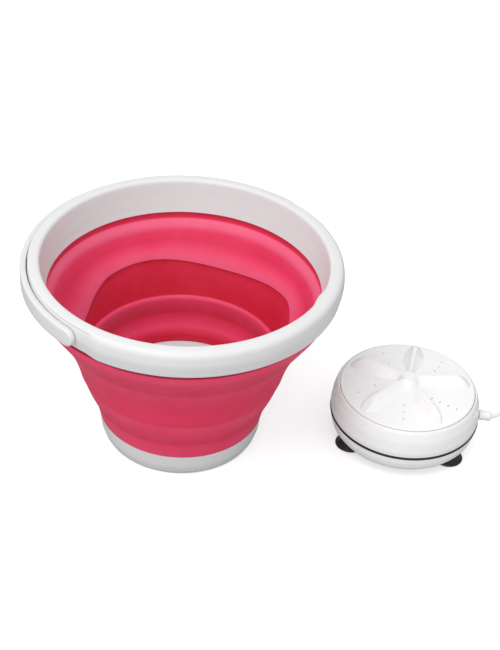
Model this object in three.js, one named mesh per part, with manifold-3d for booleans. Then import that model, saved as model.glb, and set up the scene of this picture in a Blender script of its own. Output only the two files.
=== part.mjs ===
// Portable washing set: a folding tub with a bail handle, and a low round
// turbine unit that stands beside it (or on the tub floor in use).
// Millimetres, +Z up. The pieces are built round the tub's axis, with the floor
// at z = 0, and the whole set is then centred on its own footprint.

import * as THREE from 'three';
import { mergeVertices } from 'three/addons/utils/BufferGeometryUtils.js';
import Module from 'manifold-3d';

const wasm = await Module();
wasm.setup();

// ---------- driving dimensions: tub ----------
const TUB_SEGMENTS = 48; // facets round the tub axis
const RIM_RECESS_DEPTH = 3.0; // how far the rim steps in behind the bail
const RIM_RECESS_FADE_DEG = 7; // run-out of that step past each pivot
const RIM_BOSS_AZIMUTH_DEG = -25; // small grip boss on the rim's inner face
const RIM_BOSS_HALF_DEG = 8;
const RIM_BOSS_DEPTH = 2.0;

// ---------- driving dimensions: bail handle ----------
const BAIL_PIVOT_AZIMUTH_DEG = 227.5; // front-left pivot; the other is opposite
const BAIL_PIVOT_HEIGHT = 206;
const BAIL_INNER_RADIUS = 158.8;
const BAIL_OUTER_RADIUS = 165;
const BAIL_HEIGHT = 19;
const BAIL_END_ARC_DEG = 3.3; // half-round end beyond each pivot
const BAIL_STEPS = 32;
const PIN_RADIUS = 2.6;
const PIN_HOLE_RADIUS = 2.9;
const PIN_HEAD_RADIUS = 5;
const PIN_TIP_RADIUS_POS = 162.4;
const PIN_HOLE_END_POS = 162.8;
const PIN_HEAD_POS = 150.2;
const RIM_WALL_INNER_POS = 153.4;

// ---------- driving dimensions: turbine unit ----------
const UNIT_X = 242.6; // far enough out for the folded rim to pass
const UNIT_Y = -5;
const UNIT_RADIUS = 80.3; // widest point, just above the gasket
const UNIT_SEGMENTS = 40;
const DECK_HOLE_RADIUS = 6.2;
const IMPELLER_RADIUS = UNIT_RADIUS - 7.9;
const IMPELLER_UNDERSIDE = 60.4;
const IMPELLER_EDGE_HEIGHT = 64.9;
const IMPELLER_DOME_RISE = 6.5;
const RIDGE_COUNT = 5;
const RIDGE_PHASE_DEG = 76;
const RIDGE_CREST_HEIGHT = 79.4;
const RIDGE_OUTER_RADIUS = 68;
const HUB_RADIUS = 8;
const IMPELLER_RINGS = [8, 16, 25, 34, 43, 51, 58, 64, 68.5];
const IMPELLER_SECTORS = 60;
const CUP_ORBIT_RADIUS = 61;
const CUP_AZIMUTHS_DEG = [-40, 80, 200];
const CUP_STEM_HOLE_RADIUS = 4.0;
const SCREW_ORBIT_RADIUS = 50;
const SCREW_AZIMUTHS_DEG = [20, 140, 260];
const SCREW_HOLE_RADIUS = 2.2;
const RELIEF_AZIMUTH_DEG = -11;
const RELIEF_HEIGHT = 41;
const RELIEF_HOLE_RADIUS = 4.6;

// ---------- driving dimensions: drive train ----------
const GEAR_TEETH = 40;
const PINION_TEETH = 14;
const GEAR_MODULE = 1.25;
const GEAR_BACKLASH_CENTRES = 0.35; // extra centre distance so teeth never touch
const GEAR_BOTTOM = 45;
const GEAR_THICKNESS = 4.4;
const MOTOR_AZIMUTH_DEG = 180;

// ---------- driving dimensions: cable, switch and plug ----------
const CABLE_RADIUS = 2.2;
const SWITCH_X = 468;
const SWITCH_Y = -44;
const SWITCH_LENGTH = 52;
const SWITCH_WIDTH = 22;
const SWITCH_SPLIT_HEIGHT = 7;
const PLUG_X = 392;
const PLUG_Y = -62;

const WHITE_PLASTIC = { color: 0xf1f1f0, roughness: 0.42, metalness: 0 };
const TUB_PLASTIC = { color: 0xdcdcdc, roughness: 0.48, metalness: 0 };
const SOFT_PINK = { color: 0xd63a62, roughness: 0.55, metalness: 0 };
const BLACK_RUBBER = { color: 0x17171a, roughness: 0.7, metalness: 0 };
const STEEL = { color: 0xb9bcc0, roughness: 0.3, metalness: 1 };
const BRASS = { color: 0xc6a35a, roughness: 0.35, metalness: 1 };
const GEAR_PLASTIC = { color: 0xe9e4d4, roughness: 0.5, metalness: 0 };
const BOARD_GREEN = { color: 0x1d6b3c, roughness: 0.5, metalness: 0 };
const SWITCH_GREY = { color: 0xb9bcc2, roughness: 0.5, metalness: 0 };

const rad = (degrees) => (degrees * Math.PI) / 180;
const washingSet = new THREE.Group();
washingSet.name = 'folding_tub_and_turbine_washer';

function addPart(name, geometry, finish) {
  const mesh = new THREE.Mesh(geometry, new THREE.MeshStandardMaterial(finish));
  mesh.name = name;
  washingSet.add(mesh);
  return mesh;
}

// ---------- solid builders ----------

function indexedGeometry(positions, triangles) {
  const geometry = new THREE.BufferGeometry();
  geometry.setAttribute('position', new THREE.Float32BufferAttribute(positions, 3));
  geometry.setIndex(triangles);
  geometry.computeVertexNormals();
  return geometry;
}

function signedArea(profile) {
  let area = 0;
  profile.forEach(([r0, z0], i) => {
    const [r1, z1] = profile[(i + 1) % profile.length];
    area += r0 * z1 - r1 * z0;
  });
  return area / 2;
}

// Closed (radius, height) loop turned about Z. A loop that starts and ends on
// the axis is closed there. radialShift(angle, radius, height) may bend it.
function revolve(profileIn, segments, radialShift = null) {
  const profile = signedArea(profileIn) > 0 ? profileIn : [...profileIn].reverse();
  const positions = [];
  const columns = [];
  for (let s = 0; s < segments; s++) {
    const angle = (s / segments) * Math.PI * 2;
    columns.push(profile.map(([radius, height], i) => {
      if (radius < 1e-6 && s > 0) return columns[0][i];
      const shift = radialShift ? radialShift(angle, radius, height) : 0;
      const r = radius < 1e-6 ? 0 : radius + shift;
      positions.push(r * Math.cos(angle), r * Math.sin(angle), height);
      return positions.length / 3 - 1;
    }));
  }
  const triangles = [];
  const push = (a, b, c) => {
    if (a !== b && b !== c && a !== c) triangles.push(a, b, c);
  };
  for (let s = 0; s < segments; s++) {
    const here = columns[s];
    const next = columns[(s + 1) % segments];
    for (let i = 0; i < profile.length; i++) {
      const j = (i + 1) % profile.length;
      const bothOnAxis = profile[i][0] < 1e-6 && profile[j][0] < 1e-6;
      if (bothOnAxis) continue;
      push(here[i], next[i], here[j]);
      push(here[j], next[i], next[j]);
    }
  }
  return indexedGeometry(positions, triangles);
}

// Solid through a row of equal-sized rings of points, capped at both ends.
function loft(rings) {
  const count = rings[0].length;
  const positions = rings.flat(2);
  const triangles = [];
  for (let k = 0; k + 1 < rings.length; k++) {
    for (let i = 0; i < count; i++) {
      const j = (i + 1) % count;
      const a = k * count + i;
      const b = k * count + j;
      triangles.push(a, b, a + count, b, b + count, a + count);
    }
  }
  const last = (rings.length - 1) * count;
  for (let i = 1; i + 1 < count; i++) {
    triangles.push(0, i + 1, i);
    triangles.push(last, last + i, last + i + 1);
  }
  return outwardFacing(indexedGeometry(positions, triangles));
}

function volumeOf(geometry) {
  const p = geometry.getAttribute('position');
  const index = geometry.getIndex();
  const a = new THREE.Vector3();
  const b = new THREE.Vector3();
  const c = new THREE.Vector3();
  let volume = 0;
  for (let t = 0; t < index.count; t += 3) {
    a.fromBufferAttribute(p, index.getX(t));
    b.fromBufferAttribute(p, index.getX(t + 1));
    c.fromBufferAttribute(p, index.getX(t + 2));
    volume += a.dot(b.cross(c)) / 6;
  }
  return volume;
}

function outwardFacing(geometry) {
  if (volumeOf(geometry) < 0) {
    const index = Array.from(geometry.getIndex().array);
    for (let t = 0; t < index.length; t += 3) {
      [index[t + 1], index[t + 2]] = [index[t + 2], index[t + 1]];
    }
    geometry.setIndex(index);
    geometry.computeVertexNormals();
  }
  return geometry;
}

function placeAt(geometry, x, y, z = 0) {
  geometry.translate(x, y, z);
  return geometry;
}

function atUnit(geometry) {
  return placeAt(geometry, UNIT_X, UNIT_Y);
}

function rod(radius, length, segments = 20) {
  return new THREE.CylinderGeometry(radius, radius, length, segments).rotateX(Math.PI / 2);
}

// Rod lying along a horizontal azimuth, from one radius to another.
function radialRod(radius, from, to, azimuthDeg, height, segments = 20) {
  const geometry = new THREE.CylinderGeometry(radius, radius, to - from, segments);
  geometry.rotateZ(-Math.PI / 2);
  geometry.translate((from + to) / 2, 0, height);
  geometry.rotateZ(rad(azimuthDeg));
  return geometry;
}

// ---------- booleans ----------

function toManifold(geometryIn) {
  const bare = geometryIn.clone();
  bare.deleteAttribute('normal');
  bare.deleteAttribute('uv');
  const merged = mergeVertices(bare, 1e-4);
  return new wasm.Manifold(new wasm.Mesh({
    numProp: 3,
    vertProperties: new Float32Array(merged.getAttribute('position').array),
    triVerts: new Uint32Array(merged.getIndex().array),
  }));
}

function cut(geometry, cutters) {
  let solid = toManifold(geometry);
  cutters.forEach((cutter) => {
    solid = solid.subtract(toManifold(cutter));
  });
  const mesh = solid.getMesh();
  return indexedGeometry(Array.from(mesh.vertProperties), Array.from(mesh.triVerts));
}

// ---------- tub base ----------

function buildBase() {
  const profile = [
    [0, 45.2], [52, 45], [52, 38], [55, 38], [55, 45], [78.6, 44.6], [77.6, 2], [77.6, 0],
    [81.4, 0], [83.8, 4.5], [86, 12], [86.9, 20], [87.4, 26.6], [86.8, 27.4],
    [84.4, 27.7], [84.4, 46.6], [83.4, 47.8], [0, 48.6],
  ];
  addPart('base_dish', revolve(profile, TUB_SEGMENTS), TUB_PLASTIC);
}

// ---------- folding wall: stiff bands joined by thin webs ----------

// Outer and inner faces of the standing wall, as (height, radius) pairs.
const WALL_OUTER = [
  [28.0, 87.9], [30.0, 88.7], [36, 89.8], [42, 91.0], [48, 92.4], [51, 93.4], [54, 94.6],
  [60, 97.2], [66, 100.1], [72, 102.7], [76, 104.0], [81, 105.4], [84, 106.2], [88, 108.2],
  [96, 110.0], [104, 112.2], [112, 114.9], [120, 117.9], [129, 121.7], [137, 125.6],
  [142, 128.0], [144, 128.9], [148, 131.7], [154, 135.4], [160, 139.2], [166, 143.1],
  [172, 146.9], [178, 149.8], [184, 151.0],
];
const WALL_INNER = [
  [48.2, 84.8], [51, 85.6], [54, 87.2], [58, 91.2], [62, 94.2], [66, 96.6], [70, 98.4],
  [76, 99.7], [84, 100.3], [92, 100.8], [97.4, 101.8], [100.4, 103.2], [104, 105.2],
  [112, 109.6], [120, 114.0], [129, 118.8], [131, 119.8], [133.4, 121.2], [137, 122.6],
  [142, 125.0], [146, 127.4], [150, 129.2], [154, 130.6], [160, 132.6], [165, 134.8],
  [169, 137.2], [173, 139.9], [178, 141.8], [182.4, 142.4],
];

function radiusAt(curve, height) {
  for (let i = 0; i + 1 < curve.length; i++) {
    const [z0, r0] = curve[i];
    const [z1, r1] = curve[i + 1];
    if (height >= z0 && height <= z1) return r0 + ((r1 - r0) * (height - z0)) / (z1 - z0);
  }
  throw new Error('height outside the wall');
}

// Slice of the wall between two heights, kept to every second curve point.
function wallSlice(low, high, outerStops, innerStops) {
  const outer = [low, ...outerStops, high].map((z) => [radiusAt(WALL_OUTER, z), z]);
  const inner = [high, ...innerStops, low].map((z) => [radiusAt(WALL_INNER, z), z]);
  return [...outer, ...inner];
}

function buildWall() {
  const foot = [
    [84.7, 28.0], [87.9, 28.0], [89.8, 36], [92.4, 48], [94.6, 54], [96.2, 57.85],
    [91.0, 57.85], [87.2, 54], [84.8, 48.2],
  ];
  addPart('wall_web_foot', revolve(foot, TUB_SEGMENTS), SOFT_PINK);
  const slices = [
    ['wall_band_low', 58.15, 75.85, [66], [66]],
    ['wall_web_low', 76.15, 103.85, [84, 88], [100.4, 97.4, 84]],
    ['wall_band_mid', 104.15, 128.85, [112, 120], []],
    ['wall_web_mid', 129.15, 141.85, [], [133.4, 131]],
    ['wall_band_high', 142.15, 159.85, [144, 148], [150]],
  ];
  slices.forEach(([name, low, high, outerStops, innerStops]) => {
    const profile = wallSlice(low, high, outerStops, innerStops);
    addPart(name, revolve(profile, TUB_SEGMENTS), SOFT_PINK);
  });
  const collar = [
    [radiusAt(WALL_OUTER, 160.15), 160.15], [146.9, 172], [149.8, 178], [151.0, 184],
    [146, 184], [144.2, 182.4], [142.4, 182.4], [141.8, 178], [139.9, 173], [134.8, 165],
    [radiusAt(WALL_INNER, 160.15), 160.15],
  ];
  addPart('wall_web_rim', revolve(collar, TUB_SEGMENTS), SOFT_PINK);
}

// ---------- rim ring ----------

// 1 behind the bail, 0 on the open side, eased over a short arc at each pivot.
function recessWeight(angle) {
  const fromBack = THREE.MathUtils.radToDeg(angle) - (BAIL_PIVOT_AZIMUTH_DEG - 90);
  const away = Math.abs(((fromBack + 540) % 360) - 180);
  const start = 90 + 6;
  const t = THREE.MathUtils.clamp((away - start) / RIM_RECESS_FADE_DEG, 0, 1);
  return 1 - t * t * (3 - 2 * t);
}

function bossWeight(angle) {
  const offset = THREE.MathUtils.radToDeg(angle) - RIM_BOSS_AZIMUTH_DEG;
  const away = Math.abs(((offset + 540) % 360) - 180) / RIM_BOSS_HALF_DEG;
  return away >= 1 ? 0 : 0.5 + 0.5 * Math.cos(Math.PI * away);
}

function rimShift(angle, radius, height) {
  const skirtTop = 217;
  const isSkirt = radius > 151.5 && height < skirtTop;
  if (isSkirt) return -RIM_RECESS_DEPTH * recessWeight(angle);
  const isInnerFace = radius < 145.6 && height > 186 && height < skirtTop;
  if (isInnerFace) return -RIM_BOSS_DEPTH * bossWeight(angle) * ((height - 180) / 36);
  return 0;
}

function buildRim() {
  const profile = [
    [155.2, 187.6], [158.6, 190.4], [160.6, 197], [161.2, 206], [160.3, 213.5],
    [157.4, 218.4], [152.4, 220.2], [148.2, 219.6], [145.4, 216.6], [144.0, 205],
    [141.6, 190], [140.0, 183], [142.8, 183], [144.4, 190], [146.8, 205], [148.6, 214.5],
    [152.2, 216.9], [156.0, 215.4], [157.7, 210], [158.0, 199], [156.6, 193],
    [154.6, 190.4],
  ];
  const ring = revolve(profile, TUB_SEGMENTS, rimShift);
  const holes = [0, 180].map((turn) => radialRod(
    PIN_HOLE_RADIUS, RIM_WALL_INNER_POS - 5, BAIL_INNER_RADIUS + 2,
    BAIL_PIVOT_AZIMUTH_DEG + turn, BAIL_PIVOT_HEIGHT, 16,
  ));
  addPart('rim_ring', cut(ring, holes), TUB_PLASTIC);
}

// ---------- bail handle ----------

function bailSection(angleDeg, halfHeight) {
  const corner = Math.min(1.6, halfHeight * 0.45);
  const inner = BAIL_INNER_RADIUS;
  const outer = BAIL_OUTER_RADIUS;
  const outline = [
    [inner, -halfHeight], [outer - corner, -halfHeight], [outer, -halfHeight + corner],
    [outer, halfHeight - corner], [outer - corner, halfHeight], [inner, halfHeight],
  ];
  const c = Math.cos(rad(angleDeg));
  const s = Math.sin(rad(angleDeg));
  return outline.map(([r, z]) => [r * c, r * s, BAIL_PIVOT_HEIGHT + z]);
}

function buildBail() {
  const half = BAIL_HEIGHT / 2;
  const first = BAIL_PIVOT_AZIMUTH_DEG - 180;
  const rings = [];
  const endStops = [0.04, 0.25, 0.6, 1];
  endStops.forEach((t) => {
    const beyond = 1 - t;
    const h = half * Math.sqrt(Math.max(1 - beyond * beyond, 0.02));
    rings.push(bailSection(first - BAIL_END_ARC_DEG * beyond, h));
  });
  for (let k = 1; k < BAIL_STEPS; k++) {
    rings.push(bailSection(first + (180 * k) / BAIL_STEPS, half));
  }
  [...endStops].reverse().forEach((t) => {
    const beyond = 1 - t;
    const h = half * Math.sqrt(Math.max(1 - beyond * beyond, 0.02));
    rings.push(bailSection(first + 180 + BAIL_END_ARC_DEG * beyond, h));
  });
  const holes = [0, 180].map((turn) => radialRod(
    PIN_HOLE_RADIUS, BAIL_INNER_RADIUS - 4, PIN_HOLE_END_POS,
    BAIL_PIVOT_AZIMUTH_DEG + turn, BAIL_PIVOT_HEIGHT, 16,
  ));
  addPart('bail_handle', cut(loft(rings), holes), TUB_PLASTIC);
}

function buildPins() {
  const profile = [
    [0, PIN_HEAD_POS], [PIN_HEAD_RADIUS, PIN_HEAD_POS], [PIN_HEAD_RADIUS, PIN_HEAD_POS + 2.2],
    [PIN_RADIUS, PIN_HEAD_POS + 2.2], [PIN_RADIUS, PIN_TIP_RADIUS_POS], [0, PIN_TIP_RADIUS_POS],
  ];
  [['bail_pin_front', 0], ['bail_pin_back', 180]].forEach(([name, turn]) => {
    const pin = revolve(profile, 16).rotateY(Math.PI / 2);
    pin.rotateZ(rad(BAIL_PIVOT_AZIMUTH_DEG + turn));
    addPart(name, placeAt(pin, 0, 0, BAIL_PIVOT_HEIGHT), STEEL);
  });
}

// ---------- turbine unit housing ----------

function orbit(radius, azimuthDeg) {
  return [radius * Math.cos(rad(azimuthDeg)), radius * Math.sin(rad(azimuthDeg))];
}

function buildLowerShell() {
  const profile = [
    [0, 9], [UNIT_RADIUS - 14, 9], [UNIT_RADIUS - 7.5, 11], [UNIT_RADIUS - 3.4, 16.5],
    [UNIT_RADIUS - 1.4, 23.5], [UNIT_RADIUS - 0.7, 30.3], [UNIT_RADIUS - 3.6, 30.3],
    [UNIT_RADIUS - 4.2, 24], [UNIT_RADIUS - 6.2, 18], [UNIT_RADIUS - 9.4, 13.8],
    [UNIT_RADIUS - 12.6, 12], [0, 12],
  ];
  const cupHoles = CUP_AZIMUTHS_DEG.map((azimuth) => {
    const [x, y] = orbit(CUP_ORBIT_RADIUS, azimuth);
    return placeAt(rod(CUP_STEM_HOLE_RADIUS, 12, 16), x, y, 10);
  });
  const screwHoles = SCREW_AZIMUTHS_DEG.map((azimuth) => {
    const [x, y] = orbit(SCREW_ORBIT_RADIUS, azimuth);
    return placeAt(rod(SCREW_HOLE_RADIUS, 12, 12), x, y, 10);
  });
  const shell = cut(revolve(profile, UNIT_SEGMENTS), [...cupHoles, ...screwHoles]);
  addPart('unit_shell_lower', atUnit(shell), WHITE_PLASTIC);
}

function buildGasket() {
  const profile = [
    [UNIT_RADIUS - 3.4, 30.6], [UNIT_RADIUS - 0.3, 30.6], [UNIT_RADIUS + 0.1, 31.8],
    [UNIT_RADIUS - 0.3, 33], [UNIT_RADIUS - 3.4, 33],
  ];
  addPart('unit_gasket', atUnit(revolve(profile, UNIT_SEGMENTS)), BLACK_RUBBER);
}

function buildUpperShell() {
  const profile = [
    [UNIT_RADIUS - 0.3, 33.3], [UNIT_RADIUS, 38], [UNIT_RADIUS - 0.4, 44],
    [UNIT_RADIUS - 1.6, 52], [UNIT_RADIUS - 3.3, 58.7], [UNIT_RADIUS - 5, 63.5],
    [UNIT_RADIUS - 6.1, 65], [UNIT_RADIUS - 7, 64.5], [UNIT_RADIUS - 7.2, 59.8],
    [DECK_HOLE_RADIUS, 59.8], [DECK_HOLE_RADIUS, 56.8],
    [UNIT_RADIUS - 7.8, 56.8], [UNIT_RADIUS - 4.6, 52], [UNIT_RADIUS - 3.2, 44],
    [UNIT_RADIUS - 2.8, 38], [UNIT_RADIUS - 3.1, 33.3],
  ];
  const reliefHole = radialRod(
    RELIEF_HOLE_RADIUS, UNIT_RADIUS - 10, UNIT_RADIUS + 6, RELIEF_AZIMUTH_DEG,
    RELIEF_HEIGHT, 16,
  );
  const shell = cut(revolve(profile, UNIT_SEGMENTS), [reliefHole]);
  addPart('unit_shell_upper', atUnit(shell), WHITE_PLASTIC);
}

function buildSuctionCups() {
  const profile = [
    [0, 15.4], [5.4, 15.4], [5.4, 12.3], [3.6, 12.3], [3.6, 8.7], [7.0, 8.6], [9.8, 6.4],
    [15.4, 2.0], [16.5, 0], [14.4, 0], [10, 2.4], [0, 3.2],
  ];
  CUP_AZIMUTHS_DEG.forEach((azimuth, i) => {
    const [x, y] = orbit(CUP_ORBIT_RADIUS, azimuth);
    const cup = placeAt(revolve(profile, 18), x, y);
    addPart(`suction_cup_${i + 1}`, atUnit(cup), BLACK_RUBBER);
  });
}

function buildShellScrews() {
  const profile = [
    [0, 7.6], [3.4, 7.6], [3.8, 8.7], [1.8, 8.7], [1.8, 20], [0, 21],
  ];
  SCREW_AZIMUTHS_DEG.forEach((azimuth, i) => {
    const [x, y] = orbit(SCREW_ORBIT_RADIUS, azimuth);
    const screw = placeAt(revolve(profile, 12), x, y);
    addPart(`shell_screw_${i + 1}`, atUnit(screw), STEEL);
  });
}

// ---------- impeller ----------

function smoothStep(low, high, value) {
  const t = THREE.MathUtils.clamp((value - low) / (high - low), 0, 1);
  return t * t * (3 - 2 * t);
}

// Height of the impeller's top face: shallow dome, hub boss and five fins that
// widen outwards and end in a slope short of the edge.
function impellerHeight(radius, angle) {
  const dome = IMPELLER_EDGE_HEIGHT
    + IMPELLER_DOME_RISE * (1 - (radius / IMPELLER_RADIUS) ** 2);
  const pitch = (Math.PI * 2) / RIDGE_COUNT;
  const phase = angle - rad(RIDGE_PHASE_DEG);
  const fromCrest = phase - Math.round(phase / pitch) * pitch;
  const sideways = Math.abs(radius * Math.sin(fromCrest));
  const footHalfWidth = 4.5 + 8.5 * smoothStep(8, 34, radius);
  const crestHalfWidth = 1.2 + 1.2 * smoothStep(10, 52, radius);
  const side = 1 - smoothStep(crestHalfWidth, footHalfWidth, sideways);
  const outerEnd = 1 - smoothStep(50, RIDGE_OUTER_RADIUS, radius);
  const hub = 1 - smoothStep(HUB_RADIUS, HUB_RADIUS + 6, radius);
  const lift = Math.max(side * outerEnd, hub);
  return dome + (RIDGE_CREST_HEIGHT - dome) * lift;
}

function buildImpeller() {
  const positions = [0, 0, impellerHeight(0, 0)];
  const triangles = [];
  const rings = [...IMPELLER_RINGS, IMPELLER_RADIUS];
  rings.forEach((radius) => {
    for (let s = 0; s < IMPELLER_SECTORS; s++) {
      const angle = (s / IMPELLER_SECTORS) * Math.PI * 2;
      const height = impellerHeight(radius, angle);
      positions.push(radius * Math.cos(angle), radius * Math.sin(angle), height);
    }
  });
  const vertex = (ring, s) => 1 + ring * IMPELLER_SECTORS + (s % IMPELLER_SECTORS);
  for (let s = 0; s < IMPELLER_SECTORS; s++) {
    triangles.push(0, vertex(0, s), vertex(0, s + 1));
    for (let ring = 0; ring + 1 < rings.length; ring++) {
      const a = vertex(ring, s);
      const b = vertex(ring, s + 1);
      const c = vertex(ring + 1, s);
      const d = vertex(ring + 1, s + 1);
      triangles.push(a, c, d, a, d, b);
    }
  }
  const bottomStart = positions.length / 3;
  for (let s = 0; s < IMPELLER_SECTORS; s++) {
    const angle = (s / IMPELLER_SECTORS) * Math.PI * 2;
    const r = IMPELLER_RADIUS - 0.6;
    positions.push(r * Math.cos(angle), r * Math.sin(angle), IMPELLER_UNDERSIDE);
  }
  const bottomCentre = positions.length / 3;
  positions.push(0, 0, IMPELLER_UNDERSIDE);
  for (let s = 0; s < IMPELLER_SECTORS; s++) {
    const a = vertex(rings.length - 1, s);
    const b = vertex(rings.length - 1, s + 1);
    const c = bottomStart + s;
    const d = bottomStart + ((s + 1) % IMPELLER_SECTORS);
    triangles.push(a, c, d, a, d, b);
    triangles.push(bottomCentre, d, c);
  }
  const impeller = outwardFacing(indexedGeometry(positions, triangles));
  addPart('impeller_disc', atUnit(impeller), WHITE_PLASTIC);
  const cap = [
    [0, 79.7], [6.6, 79.7], [6.8, 80.8], [5.6, 81.6], [0, 81.8],
  ];
  addPart('impeller_hub_cap', atUnit(revolve(cap, 24)), WHITE_PLASTIC);
}

// ---------- drive train inside the unit ----------

function gearOutline(teeth, phase) {
  const pitchRadius = (teeth * GEAR_MODULE) / 2;
  const tip = pitchRadius + 0.85 * GEAR_MODULE;
  const root = pitchRadius - 1.15 * GEAR_MODULE;
  const pitchAngle = (Math.PI * 2) / teeth;
  const points = [];
  for (let k = 0; k < teeth; k++) {
    const centre = phase + k * pitchAngle;
    [[-0.27, root], [-0.13, tip], [0.13, tip], [0.27, root]].forEach(([part, radius]) => {
      const angle = centre + part * pitchAngle;
      points.push(new THREE.Vector2(radius * Math.cos(angle), radius * Math.sin(angle)));
    });
  }
  return points;
}

function gear(teeth, phase, boreRadius) {
  const shape = new THREE.Shape(gearOutline(teeth, phase));
  shape.holes.push(new THREE.Path().absarc(0, 0, boreRadius, 0, Math.PI * 2, true));
  return new THREE.ExtrudeGeometry(shape, {
    depth: GEAR_THICKNESS, bevelEnabled: false, curveSegments: 8,
  });
}

function buildDriveTrain() {
  const centres = ((GEAR_TEETH + PINION_TEETH) * GEAR_MODULE) / 2 + GEAR_BACKLASH_CENTRES;
  const [motorX, motorY] = orbit(centres, MOTOR_AZIMUTH_DEG);
  const atMotor = (geometry) => atUnit(placeAt(geometry, motorX, motorY));

  const shaft = [
    [0, 14], [3.2, 14], [3.2, 44.6], [4.0, 44.8], [4.0, 59.2], [3.4, 60.1], [0, 60.1],
  ];
  addPart('drive_shaft', atUnit(revolve(shaft, 20)), STEEL);
  const wheel = gear(GEAR_TEETH, rad(MOTOR_AZIMUTH_DEG), 4.3);
  addPart('drive_gear', atUnit(placeAt(wheel, 0, 0, GEAR_BOTTOM)), GEAR_PLASTIC);
  const bush = [[4.3, 56.9], [5.9, 56.9], [5.9, 59], [4.3, 59]];
  addPart('shaft_bush', atUnit(revolve(bush, 20)), BRASS);
  const seal = [[4.3, 59.2], [5.9, 59.2], [5.9, 60.1], [4.3, 60.1]];
  addPart('shaft_seal', atUnit(revolve(seal, 20)), BLACK_RUBBER);

  const can = [
    [0, 16.5], [3.4, 16.5], [3.4, 15.4], [13.6, 15.4], [14.2, 16.2], [14.2, 40.2],
    [13.6, 41], [4.6, 41], [4.6, 41.9], [2.0, 41.9], [2.0, 30], [0, 30],
  ];
  addPart('motor_can', atMotor(revolve(can, 24)), STEEL);
  const motorShaft = [[0, 30.4], [1.5, 30.4], [1.5, 49.6], [0, 49.6]];
  addPart('motor_shaft', atMotor(revolve(motorShaft, 14)), STEEL);
  const pinion = gear(PINION_TEETH, Math.PI / PINION_TEETH, 1.8);
  addPart('motor_pinion', atMotor(placeAt(pinion, 0, 0, GEAR_BOTTOM)), BRASS);

  const plate = new THREE.Shape();
  plate.moveTo(-52, -17);
  plate.lineTo(16, -17);
  plate.lineTo(16, 17);
  plate.lineTo(-52, 17);
  plate.closePath();
  plate.holes.push(new THREE.Path().absarc(0, 0, 3.8, 0, Math.PI * 2, true));
  plate.holes.push(new THREE.Path().absarc(motorX, motorY, 3, 0, Math.PI * 2, true));
  const plateSolid = new THREE.ExtrudeGeometry(plate, {
    depth: 1.6, bevelEnabled: false, curveSegments: 8,
  });
  addPart('gear_plate', atUnit(placeAt(plateSolid, 0, 0, 42.4)), STEEL);

  const board = new THREE.BoxGeometry(34, 26, 1.6);
  addPart('control_board', atUnit(placeAt(board, 32, -4, 13.4)), BOARD_GREEN);
}

// ---------- strain relief, cable, switch, plug ----------

function buildStrainRelief() {
  // Along the cable, measured outwards from the widest shell radius.
  const profile = [
    [2.6, -6.4], [5.6, -6.4], [5.6, -4.4], [4.2, -4.2], [4.2, 0.5], [6.2, 0.7],
    [6.4, 3.4], [5.2, 4.8], [4.9, 12.4], [4.3, 13.2], [2.6, 13.2],
  ];
  const relief = revolve(profile, 20).rotateY(Math.PI / 2);
  relief.translate(UNIT_RADIUS, 0, 0);
  relief.rotateZ(rad(RELIEF_AZIMUTH_DEG));
  addPart('cable_grommet', atUnit(placeAt(relief, 0, 0, RELIEF_HEIGHT)), WHITE_PLASTIC);
}

function tubeAlong(points, radius, steps, sides = 7) {
  const curve = new THREE.CatmullRomCurve3(points.map((p) => new THREE.Vector3(...p)));
  const circle = new THREE.Shape();
  circle.absarc(0, 0, radius, 0, Math.PI * 2, false);
  const outline = new THREE.Shape(circle.getPoints(sides).slice(0, sides));
  return new THREE.ExtrudeGeometry(outline, {
    steps, bevelEnabled: false, extrudePath: curve,
  });
}

function buildCables() {
  const [rx, ry] = orbit(UNIT_RADIUS - 1.6, RELIEF_AZIMUTH_DEG);
  const [ex, ey] = orbit(UNIT_RADIUS + 14, RELIEF_AZIMUTH_DEG);
  const feed = [
    [UNIT_X + rx, UNIT_Y + ry, RELIEF_HEIGHT],
    [UNIT_X + ex, UNIT_Y + ey, RELIEF_HEIGHT],
    [360, -8, 41], [380, 3, 33], [397, 20, 16], [408, 44, 4], [424, 70, 2.5],
    [452, 74, 2.5], [470, 48, 2.6], [471, 16, 4], [468, -4, 7], [468, -16.2, 7],
  ];
  addPart('cable_unit_side', tubeAlong(feed, CABLE_RADIUS, 36), WHITE_PLASTIC);
  const tail = [
    [468, -71.8, 7], [467, -84, 6], [458, -104, 2.6], [438, -117, 2.5], [414, -118, 2.6],
    [397, -106, 3.6], [392, -92, 6], [392, -82.4, 6],
  ];
  addPart('cable_plug_side', tubeAlong(tail, CABLE_RADIUS, 20), WHITE_PLASTIC);
}

function roundedBlock(width, length, depth, corner) {
  const w = width / 2;
  const l = length / 2;
  const shape = new THREE.Shape();
  shape.moveTo(-w + corner, -l);
  shape.lineTo(w - corner, -l);
  shape.absarc(w - corner, -l + corner, corner, -Math.PI / 2, 0, false);
  shape.lineTo(w, l - corner);
  shape.absarc(w - corner, l - corner, corner, 0, Math.PI / 2, false);
  shape.lineTo(-w + corner, l);
  shape.absarc(-w + corner, l - corner, corner, Math.PI / 2, Math.PI, false);
  shape.lineTo(-w, -l + corner);
  shape.absarc(-w + corner, -l + corner, corner, Math.PI, Math.PI * 1.5, false);
  return new THREE.ExtrudeGeometry(shape, { depth, bevelEnabled: false, curveSegments: 4 });
}

function lengthwiseRod(radius, length, x, y, z) {
  return placeAt(new THREE.CylinderGeometry(radius, radius, length, 16), x, y, z);
}

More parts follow.
